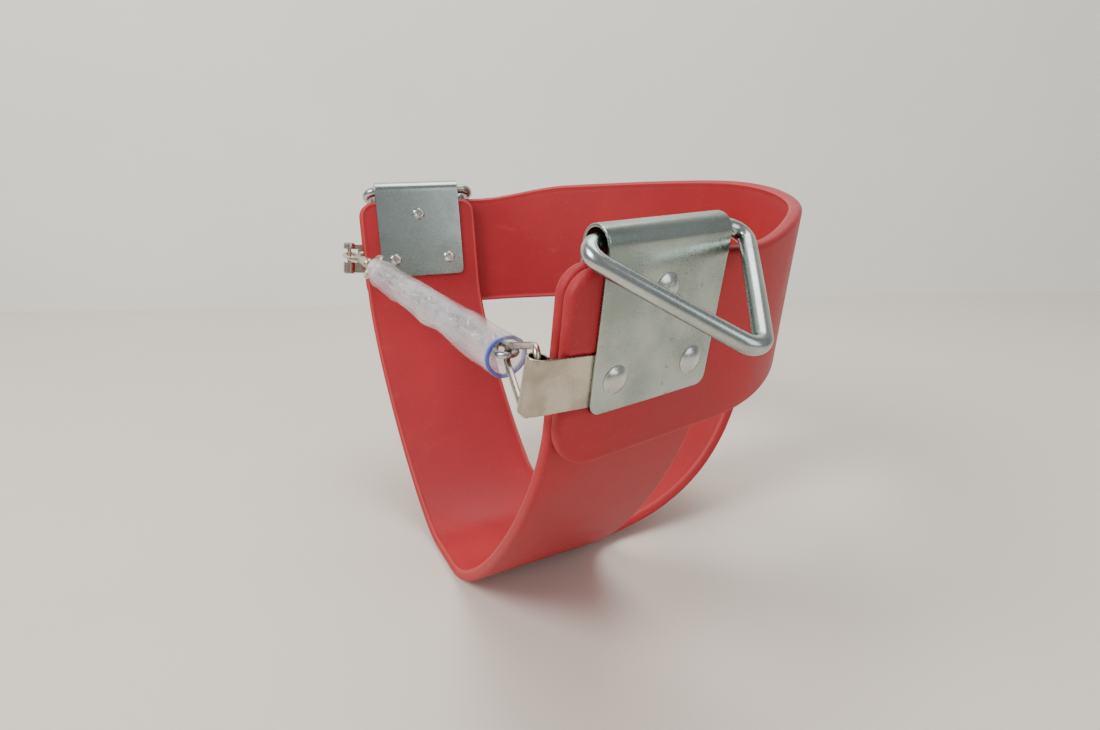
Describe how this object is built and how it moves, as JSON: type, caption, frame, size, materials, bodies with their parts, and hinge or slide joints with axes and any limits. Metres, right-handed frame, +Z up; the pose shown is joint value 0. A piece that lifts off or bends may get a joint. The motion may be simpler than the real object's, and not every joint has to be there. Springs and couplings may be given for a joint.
{
  "type": "belt swing seat",
  "caption": "Half-bucket swing seat: rubber seat strap with a rear tongue, back belt, riveted hangers with triangle rings, and a sleeved safety chain with a bolt snap.",
  "frame": {"origin": "on the seat strap's underside, midway between the hangers and between the strap's front and rear edges", "axes": "+X from the left hanger to the right hanger as the child sits, +Y to the rear (back belt), +Z up"},
  "size_m": [0.5956, 0.3326, 0.3222],
  "materials": {
    "belt": "matte moulded red rubber with a fine grain",
    "spring_steel": "plain rolled steel",
    "zinc_plate": "zinc plated, satin",
    "zinc_rod": "zinc plated, satin",
    "rivet": "zinc plated, bright on the heads",
    "nickel": "nickel plated, warm satin",
    "zinc_chain": "zinc plated, a little dull",
    "clear_sleeve": "milky clear soft plastic"
  },
  "bodies": {
    "seat": {"seat_strap": "belt", "seat_insert": "spring_steel", "back_belt": "belt", "back_insert": "spring_steel", "hanger_right": "zinc_plate", "hanger_left": "zinc_plate", "rivet_right_upper": "rivet", "rivet_right_front": "rivet", "rivet_right_rear": "rivet", "rivet_left_upper": "rivet", "rivet_left_front": "rivet", "rivet_left_rear": "rivet", "bracket_right": "nickel", "bracket_left": "nickel", "bracket_pin": "nickel"},
    "ring_right": {"ring_right": "zinc_rod"},
    "ring_left": {"ring_left": "zinc_rod"},
    "link": {"triangle_link": "nickel"},
    "chain": {"chain_links": "zinc_chain", "chain_sleeve": "clear_sleeve", "snap_eye": "nickel"},
    "snap": {"snap_body": "nickel", "snap_spring": "spring_steel"},
    "bolt": {"snap_bolt": "nickel", "snap_knob": "nickel"}
  },
  "joints": [
    {"name": "ring_right_swing", "type": "hinge", "parent": "seat", "child": "ring_right", "pos_m": [0.23091, 0.00568, 0.31267], "axis": [0.1736, -0.9848, 0], "range_deg": [0, 234]},
    {"name": "ring_left_swing", "type": "hinge", "parent": "seat", "child": "ring_left", "pos_m": [-0.23091, 0.00568, 0.31267], "axis": [0.1736, 0.9848, 0], "range_deg": [0, 234]},
    {"name": "link_swing", "type": "hinge", "parent": "seat", "child": "link", "pos_m": [0.23593, -0.07542, 0.24436], "axis": [0.0966, 0.1385, 0.9856], "range_deg": [0, 150]},
    {"name": "chain_swing", "type": "hinge", "parent": "link", "child": "chain", "pos_m": [0.18993, -0.06967, 0.24806], "axis": [0.0966, 0.1385, 0.9856], "range_deg": [0, 55]},
    {"name": "snap_swivel", "type": "hinge", "parent": "chain", "child": "snap", "pos_m": [-0.159, -0.06967, 0.24806], "axis": [1, 0, 0], "range_deg": [-17, 17]},
    {"name": "bolt_slide", "type": "slide", "parent": "snap", "child": "bolt", "axis": [1, 0, 0], "range_m": [0, 0.009], "stiffness_N_per_m": 300, "springref_m": -0.01, "deforming": ["snap_spring"]}
  ]
}
